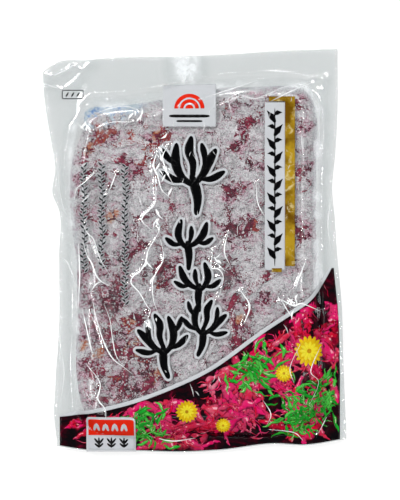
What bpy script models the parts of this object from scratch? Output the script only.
"""Flat clear pouch packed with salted tosaka nori, lying on its back.

Two webs of clear film are heat-sealed all round a slab of red seaweed that
is packed in coarse salt. Forked, ragged fronds lie over both faces of the
slab, under the film.

The origin is on the surface that the pouch lies on, under its middle.
+X runs across the pouch, +Y towards its top seal and +Z out of its front.
"""

import math
import random

import bmesh
import bpy
import numpy as np

# Driving dimensions, in millimetres unless a name says otherwise.
MM = 0.001

FILM = 0.4              # modelled thickness of one web
SEAL_GAP = 0.3          # between the two webs where they are sealed
SEAL_HEIGHT = 5.6       # of the side and bottom seals above the surface
HEADER_HEIGHT = 2.2     # of the empty top edge above the surface
HEADER_SLOPE = 24.0     # length over which the header comes down to it
SEAL_WAVE = 0.7         # up and down wander of the seals
SEAL_WAVE_LENGTHS = (17.0, 60.0, 31.0)      # of its waves, over two pi
DOME_HEIGHT = 19.6      # of the front web over the slab

SLAB_TOP = 15.6         # mean height of the packed slab's upper face
SLAB_MIDDLE = 7.4       # height of the slab's widest line
SLAB_BOTTOM = 2.6       # height of its lower face
SLAB_BLUNT = 0.25       # share of its thickness left at its edge
SLAB_SHOULDER = 13.0    # width of its rounded edge
SWELL = 0.8             # up and down wander of its upper face
SWELL_LENGTHS = (19.0, 26.0, 33.0, 21.0)    # of its waves, over two pi

SIDE_FOOT = 3.0         # from the slab's edge out to the side seal
END_FOOT = 4.0          # from the slab's edge out to the bottom seal
HEADER_FOOT = 9.0       # from the slab's edge out to the top header
FILM_SHOULDER = 13.0    # from the slab's edge in to the flat of the front
BACK_SHOULDER = 9.0     # from the slab's edge in to the flat of the back
STEEPNESS = 0.65        # under 1 makes the web climb at once from its seal

# Each edge is a smooth curve through points of (where along, how far out).
POUCH_LEFT = ((-133, -93.5), (-117, -95.3), (-92, -94.5), (-53, -92.1), (-3, -92.0),
              (28, -92.1), (41, -96.6), (58, -94.7), (75, -97.0), (100, -100.7), (122, -103.3))
POUCH_RIGHT = ((-129, 103.3), (-84, 101.2), (-42, 100.0), (-10, 97.2), (17, 95.3),
               (36, 93.6), (60, 95.7), (91, 97.4), (137, 97.7))
POUCH_BOTTOM = ((-94, -133.0), (-75, -135.9), (-37, -136.7), (-7, -137.4), (19, -136.0),
                (54, -131.8), (75, -132.6), (103, -128.5))
POUCH_TOP = ((-103, 122.0), (-96, 127.0), (-73, 129.8), (-46, 132.0), (-20, 132.0),
             (23, 133.6), (58, 136.1), (98, 137.4))
SLAB_LEFT = ((-122, -70.0), (-113, -76.5), (-100, -79.0), (-40, -79.2), (0, -80.2), (24, -83.0),
             (74, -83.0), (84, -81.0), (94, -74.5))
SLAB_RIGHT = ((-120, 76.5), (-110, 81.0), (-96, 83.0), (-40, 83.0), (20, 82.6), (60, 82.4),
              (96, 82.4), (104, 80.5), (108, 77.0))
SLAB_BOTTOM_EDGE = ((-79, -108.0), (-70, -117.5), (-56, -121.5), (0, -121.5), (58, -121.0),
                    (72, -118.0), (82, -109.0))
SLAB_TOP_EDGE = ((-81, 85.0), (-74.5, 93.8), (-57, 97.2), (-40, 99.3), (-20, 102.5), (0, 106.5),
                 (14, 109.5), (39, 110.8), (70, 110.0), (78, 107.0), (82.5, 101.0))

# Grid lines: distances in from the slab's edge, then an even run between.
RIM_LINES = (0.0, 4.0, 9.0, 15.5)
ACROSS_MIDDLE = 9
ALONG_MIDDLE = 13

FROND_THICKNESS = 0.8
FROND_LIFT = 1.15       # middle of a frond above the slab's upper face
FROND_RIPPLE = 0.3      # up and down wander of a frond's edges
FROND_STEP = 4.8        # from one station of a frond to the next
FROND_HALF_WIDTH = 2.9
FROND_TAPER = 0.94      # width kept at each fork
FROND_GAP = 0.6         # between one frond and the next
FROND_BEND = math.radians(18)
FORK_ANGLES = (math.radians(33), math.radians(52))
RAGGED = (0.58, 1.26)   # least and most share of its width at a station
RAGGED_REACH = 1.26
TIP_LOBES = ((1.12, 0.5), (0.75, 0.0), (1.05, -0.55))   # ahead and left, in half widths
RIPPLE_WAVES = (1.1, 0.5, 0.9)
FROND_FORKS = 3
FROND_RIM = 8.0         # fronds keep this far in from the slab's edge
LEAST_SHARE = 0.93      # and off its low corners
LEAST_STATIONS = 11     # a smaller scrap is not laid
FRONT_FRONDS = 28
BACK_FRONDS = 7
TRIES = 4000
SEED = 27

# Colour, roughness and opacity of each finish.
CLEAR_FILM = ((0.66, 0.72, 0.74), 0.12, 0.3)
PACKED_SALT = ((0.52, 0.49, 0.48), 0.85, 1.0)
CRIMSON = ((0.25, 0.012, 0.03), 0.45, 1.0)
MAROON = ((0.09, 0.008, 0.02), 0.45, 1.0)
AMBER = ((0.46, 0.11, 0.03), 0.45, 1.0)
FROND_FINISHES = (("crimson", CRIMSON), ("maroon", MAROON), ("crimson", CRIMSON),
                  ("crimson", CRIMSON), ("maroon", MAROON), ("amber", AMBER), ("crimson", CRIMSON))


def clear_scene():
    """Remove every object, whatever the file that this runs in holds."""
    for item in list(bpy.data.objects):
        bpy.data.objects.remove(item, do_unlink=True)


def finish(name, look):
    """A Principled material of one colour, roughness and opacity."""
    colour, roughness, opacity = look
    material = bpy.data.materials.new(name)
    material.use_nodes = True
    shader = material.node_tree.nodes["Principled BSDF"]
    shader.inputs["Base Color"].default_value = (*colour, 1.0)
    shader.inputs["Roughness"].default_value = roughness
    shader.inputs["Metallic"].default_value = 0.0
    shader.inputs["Alpha"].default_value = opacity
    return material


def smooth_curve(points):
    """A function that runs smoothly through points of (t, value).

    Each span is a cubic Hermite curve whose end slopes are the mean slopes
    of the spans that meet there.
    """
    t, value = np.array(points, float).T
    slope = np.gradient(value, t)

    def at(query):
        query = np.clip(query, t[0], t[-1])
        i = np.clip(np.searchsorted(t, query) - 1, 0, len(t) - 2)
        span = t[i + 1] - t[i]
        s = (query - t[i]) / span
        start = value[i] * (1 + 2 * s) * (1 - s) ** 2 + slope[i] * span * s * (1 - s) ** 2
        end = value[i + 1] * s * s * (3 - 2 * s) + slope[i + 1] * span * s * s * (s - 1)
        return start + end

    return at


pouch_left = smooth_curve(POUCH_LEFT)
pouch_right = smooth_curve(POUCH_RIGHT)
pouch_bottom = smooth_curve(POUCH_BOTTOM)
pouch_top = smooth_curve(POUCH_TOP)
slab_left = smooth_curve(SLAB_LEFT)
slab_right = smooth_curve(SLAB_RIGHT)
slab_bottom = smooth_curve(SLAB_BOTTOM_EDGE)
slab_top = smooth_curve(SLAB_TOP_EDGE)


def depths(x, y):
    """How far a point is in from the slab's left, right, bottom and top."""
    return x - slab_left(y), slab_right(y) - x, y - slab_bottom(x), slab_top(x) - y


def rise(depth, foot, shoulder):
    """0 outside the foot of a slope, climbing to 1 at its shoulder."""
    t = np.clip((depth + foot) / (foot + shoulder), 0, 1)
    return np.sin(t * np.pi / 2) ** STEEPNESS


def filled(x, y, shoulder):
    """0 on the seals, 1 over the slab, the product of its four slopes."""
    left, right, bottom, top = depths(x, y)
    across = rise(left, SIDE_FOOT, shoulder) * rise(right, SIDE_FOOT, shoulder)
    return across * rise(bottom, END_FOOT, shoulder) * rise(top, HEADER_FOOT, shoulder)


def swell(x, y):
    """A slow lumpy wander of the packed slab, from -1 to 1."""
    across, along, slant_across, slant_along = SWELL_LENGTHS
    first = np.sin(x / across + 0.7) * np.cos(y / along - 0.4)
    second = np.sin(x / slant_across - y / slant_along + 1.9)
    return 0.5 * first + 0.5 * second


def seal_height(x, y):
    """Middle of the sealed webs: it wanders, and the header lies lower."""
    header = np.clip((y - slab_top(x)) / HEADER_SLOPE, 0, 1)
    level = SEAL_HEIGHT + (HEADER_HEIGHT - SEAL_HEIGHT) * header
    along, slant, across = SEAL_WAVE_LENGTHS
    return level + SEAL_WAVE * np.sin(y / along + x / slant) * np.cos(x / across)


def front_height(x, y):
    """Outer face of the front web."""
    seal = seal_height(x, y) + SEAL_GAP / 2 + FILM
    dome = DOME_HEIGHT + SWELL * swell(x, y)
    return seal + (dome - seal) * filled(x, y, FILM_SHOULDER)


def back_height(x, y):
    """Outer face of the back web, flat on the surface under the slab."""
    seal = seal_height(x, y) - SEAL_GAP / 2 - FILM
    return seal * (1 - filled(x, y, BACK_SHOULDER))


def slab_share(x, y):
    """Share of the slab's thickness: blunt at its edge, 1 past its shoulder."""
    share = 1.0
    for depth in depths(x, y):
        t = 1 - np.clip(depth / SLAB_SHOULDER, 0, 1)
        share = share * (SLAB_BLUNT + (1 - SLAB_BLUNT) * np.sqrt(1 - t * t) ** 1.3)
    return share


def slab_upper(x, y):
    """Upper face of the packed slab."""
    top = SLAB_TOP + SWELL * swell(x, y)
    return SLAB_MIDDLE + (top - SLAB_MIDDLE) * slab_share(x, y)


def slab_lower(x, y):
    """Lower face of the packed slab."""
    return SLAB_MIDDLE + (SLAB_BOTTOM - SLAB_MIDDLE) * slab_share(x, y)


def lines_between(low, high, middle):
    """Grid lines from low to high, close together near both ends."""
    rim = RIM_LINES[-1]
    near = [low + inset for inset in RIM_LINES[:-1]]
    span = [low + rim + (high - low - 2 * rim) * k / middle for k in range(middle + 1)]
    far = [high - inset for inset in reversed(RIM_LINES[:-1])]
    return near + span + far


def slab_columns(y):
    """Where the slab's grid lines cross each height y, left to right."""
    return np.stack(lines_between(slab_left(y), slab_right(y), ACROSS_MIDDLE), axis=-1)


def slab_rows(x):
    """Where the slab's grid lines cross each x, bottom to top."""
    return np.stack(lines_between(slab_bottom(x), slab_top(x), ALONG_MIDDLE), axis=-1)


def pouch_columns(y):
    """Where a web's grid lines cross each height y, edge to edge."""
    inner = lines_between(slab_left(y), slab_right(y), ACROSS_MIDDLE)
    feet = slab_left(y) - SIDE_FOOT, slab_right(y) + SIDE_FOOT
    return np.stack([pouch_left(y), feet[0], *inner, feet[1], pouch_right(y)], axis=-1)


def pouch_rows(x):
    """Where a web's grid lines cross each x, edge to edge."""
    inner = lines_between(slab_bottom(x), slab_top(x), ALONG_MIDDLE)
    foot = slab_bottom(x) - END_FOOT
    header = slab_top(x) + HEADER_FOOT
    edge = pouch_top(x)
    return np.stack([pouch_bottom(x), foot, *inner, header, (header + edge) / 2, edge], axis=-1)


def grid(columns, rows):
    """Where the grid lines meet: arrays x and y, row by row from below."""
    x = columns(rows(np.array(0.0)))
    y = np.array([rows(x_row)[:, number] for number, x_row in enumerate(x)])
    return x, y


def grid_mesh(x, y, z):
    """A Blender grid with one vertex moved to each point of the arrays."""
    rows, columns = x.shape
    bm = bmesh.new()
    bmesh.ops.create_grid(bm, x_segments=columns - 1, y_segments=rows - 1, size=1.0)
    points = np.stack([x, y, z], axis=-1).reshape(-1, 3) * MM
    order = sorted(bm.verts, key=lambda v: (round(v.co.y, 5), round(v.co.x, 5)))
    for vertex, point in zip(order, points):
        vertex.co = point
    return bm


def object_from(bm, name, material, collection, parent):
    """Turn a bmesh into a named object with its material, under the parent."""
    mesh = bpy.data.meshes.new(name)
    bm.to_mesh(mesh)
    bm.free()
    mesh.materials.append(material)
    item = bpy.data.objects.new(name, mesh)
    item.parent = parent
    collection.objects.link(item)
    return item


def thicken(item, thickness, offset):
    """Give an open surface a wall with a Solidify modifier."""
    wall = item.modifiers.new("wall", "SOLIDIFY")
    wall.thickness = thickness * MM
    wall.offset = offset
    wall.use_even_offset = False
    wall.use_rim = True


def make_webs(collection, parent):
    """The front and the back web, each an open sheet with a thin wall."""
    x, y = grid(pouch_columns, pouch_rows)
    film = finish("clear_film", CLEAR_FILM)
    front = object_from(grid_mesh(x, y, front_height(x, y)), "front_film", film, collection, parent)
    thicken(front, FILM, -1.0)
    lower = grid_mesh(x, y, back_height(x, y))
    bmesh.ops.reverse_faces(lower, faces=lower.faces)
    back = object_from(lower, "back_film", film, collection, parent)
    thicken(back, FILM, -1.0)
    return front


def make_slab(collection, parent):
    """The packed slab: its upper face, closed by the same grid below it."""
    x, y = grid(slab_columns, slab_rows)
    slab = grid_mesh(x, y, slab_upper(x, y))
    shell = bmesh.ops.extrude_face_region(slab, geom=slab.faces[:])
    for item in shell["geom"]:
        if isinstance(item, bmesh.types.BMVert):
            item.co.z = slab_lower(item.co.x / MM, item.co.y / MM) * MM
    bmesh.ops.recalc_face_normals(slab, faces=slab.faces)
    object_from(slab, "salted_slab", finish("packed_salt", PACKED_SALT), collection, parent)


class Bed:
    """Where fronds may lie, and the discs that laid fronds take up."""

    def __init__(self):
        self.discs = np.zeros((0, 3))

    def clear(self, x, y, radius, own):
        """True where a disc is on the slab and clear of all the others."""
        if min(float(depth) for depth in depths(x, y)) < FROND_RIM or slab_share(x, y) < LEAST_SHARE:
            return False
        others = np.vstack([self.discs, np.array(own).reshape(-1, 3)])
        if not len(others):
            return True
        away = np.hypot(others[:, 0] - x, others[:, 1] - y)
        return bool(np.all(away > others[:, 2] + radius + FROND_GAP))


def grow(rng, bed, start, heading, half_width, forks, path, laid):
    """Grow one branch of a frond and the branches that fork from its tip.

    A branch is (stations, children). A station is (x, y, heading, half
    width). `laid` keeps each disc with its branch's path and its number on
    that branch, so that a branch ignores only its parent and the first
    station of its twin.
    """
    stations = [(*start, heading, half_width)]
    radius = half_width * RAGGED_REACH
    twin = path[:-1] + (-path[-1],) if path else None
    for number in range(1, rng.choice((3, 4))):
        heading += rng.uniform(-FROND_BEND, FROND_BEND)
        x = stations[-1][0] + FROND_STEP * math.cos(heading)
        y = stations[-1][1] + FROND_STEP * math.sin(heading)
        own = [disc for disc, branch, place in laid
               if branch not in (path, path[:-1])
               and not (branch == twin and place == 1 and number == 1)]
        if not bed.clear(x, y, radius, own):
            break
        stations.append((x, y, heading, half_width))
        laid.append(((x, y, radius), path, number))
    children = []
    if forks and len(stations) > 2:
        for side in (1, -1):
            turn = side * rng.uniform(*FORK_ANGLES)
            child = grow(rng, bed, stations[-1][:2], heading + turn, half_width * FROND_TAPER,
                         forks - 1, path + (side,), laid)
            if len(child[0]) > 1:
                children.append(child)
    return stations, children


def outline(rng, branch, is_root):
    """Walk round a branch: up its left edge, round its forks or tip, back."""
    stations, children = branch
    left = []
    right = []
    for x, y, heading, half_width in stations if is_root else stations[1:]:
        across = np.array([-math.sin(heading), math.cos(heading)])
        left.append(np.array([x, y]) + across * half_width * rng.uniform(*RAGGED))
        right.append(np.array([x, y]) - across * half_width * rng.uniform(*RAGGED))
    x, y, heading, half_width = stations[-1]
    tip = np.array([x, y])
    ahead = np.array([math.cos(heading), math.sin(heading)])
    across = np.array([-ahead[1], ahead[0]])
    if children:
        middle = [point for child in children for point in outline(rng, child, False)]
    else:
        middle = [tip + half_width * (far * ahead + left_by * across) for far, left_by in TIP_LOBES]
    around = left + middle + right[::-1]
    if is_root:
        x, y, heading, half_width = stations[0]
        around.append(np.array([x, y]) - half_width * np.array([math.cos(heading), math.sin(heading)]))
    return around


def crosses_itself(points):
    """True where two sides of a closed outline cross."""
    start = np.array(points)
    side = np.roll(start, -1, axis=0) - start
    between = start[None, :, :] - start[:, None, :]
    turn = side[:, None, 0] * side[None, :, 1] - side[:, None, 1] * side[None, :, 0]
    turn = np.where(np.abs(turn) < 1e-9, np.inf, turn)
    along = (between[..., 0] * side[None, :, 1] - between[..., 1] * side[None, :, 0]) / turn
    other = (between[..., 0] * side[:, None, 1] - between[..., 1] * side[:, None, 0]) / turn
    edge = 1e-6
    crossed = (along > edge) & (along < 1 - edge) & (other > edge) & (other < 1 - edge)
    return bool(crossed.any())


def lay_fronds(count, seed):
    """Outlines of up to `count` fronds that share a face without crossing."""
    rng = random.Random(seed)
    bed = Bed()
    outlines = []
    for _ in range(TRIES):
        if len(outlines) == count:
            break
        start = (rng.uniform(slab_left(0), slab_right(0)), rng.uniform(slab_bottom(0), slab_top(0)))
        heading = rng.uniform(-math.pi, math.pi)
        radius = FROND_HALF_WIDTH * RAGGED_REACH
        if not bed.clear(*start, radius, []):
            continue
        laid = [((*start, radius), (), 0)]
        tree = grow(rng, bed, start, heading, FROND_HALF_WIDTH, FROND_FORKS, (), laid)
        if len(laid) < LEAST_STATIONS:
            continue
        points = outline(rng, tree, True)
        if crosses_itself(points):
            continue
        bed.discs = np.vstack([bed.discs, np.array([disc for disc, _, _ in laid])])
        outlines.append(points)
    return outlines


def frond_height(x, y, on_front):
    """Middle of a frond: close over the slab's face, with rippled edges."""
    across, bend, along = RIPPLE_WAVES
    ripple = FROND_RIPPLE * math.sin(across * x + 2 * math.sin(bend * y)) * math.cos(along * y)
    if on_front:
        return slab_upper(x, y) + FROND_LIFT + ripple
    return slab_lower(x, y) - FROND_LIFT - 0.5 * ripple


def make_frond(points, name, material, on_front, collection, parent):
    """One frond: a filled outline laid over the slab, with a thin wall."""
    bm = bmesh.new()
    verts = [bm.verts.new((p[0] * MM, p[1] * MM, frond_height(p[0], p[1], on_front) * MM)) for p in points]
    edges = [bm.edges.new((a, b)) for a, b in zip(verts, verts[1:] + verts[:1])]
    bmesh.ops.triangle_fill(bm, edges=edges, use_beauty=True, normal=(0, 0, 1))
    bmesh.ops.recalc_face_normals(bm, faces=bm.faces)
    if sum(face.normal.z for face in bm.faces) < 0:
        bmesh.ops.reverse_faces(bm, faces=bm.faces)
    frond = object_from(bm, name, material, collection, parent)
    thicken(frond, FROND_THICKNESS, 0.0)


def make_fronds(collection, parent):
    """The fronds that show on the front of the slab and those on its back."""
    materials = {name: finish(name + "_frond", look) for name, look in FROND_FINISHES}
    for face, count, seed in (("front", FRONT_FRONDS, SEED), ("back", BACK_FRONDS, SEED + 1)):
        for number, points in enumerate(lay_fronds(count, seed), start=1):
            colour = FROND_FINISHES[number % len(FROND_FINISHES)][0]
            make_frond(points, f"{face}_frond_{number:02d}", materials[colour], face == "front",
                       collection, parent)


def main():
    clear_scene()
    collection = bpy.data.collections.new("salted_seaweed_pouch")
    bpy.context.scene.collection.children.link(collection)
    pouch = bpy.data.objects.new("pouch", None)
    collection.objects.link(pouch)
    front = make_webs(collection, pouch)
    make_slab(collection, pouch)
    make_fronds(collection, pouch)
    corners = np.array([vertex.co for vertex in front.data.vertices])
    centre = (corners.min(axis=0) + corners.max(axis=0)) / 2
    pouch.location = (-centre[0], -centre[1], 0)


main()
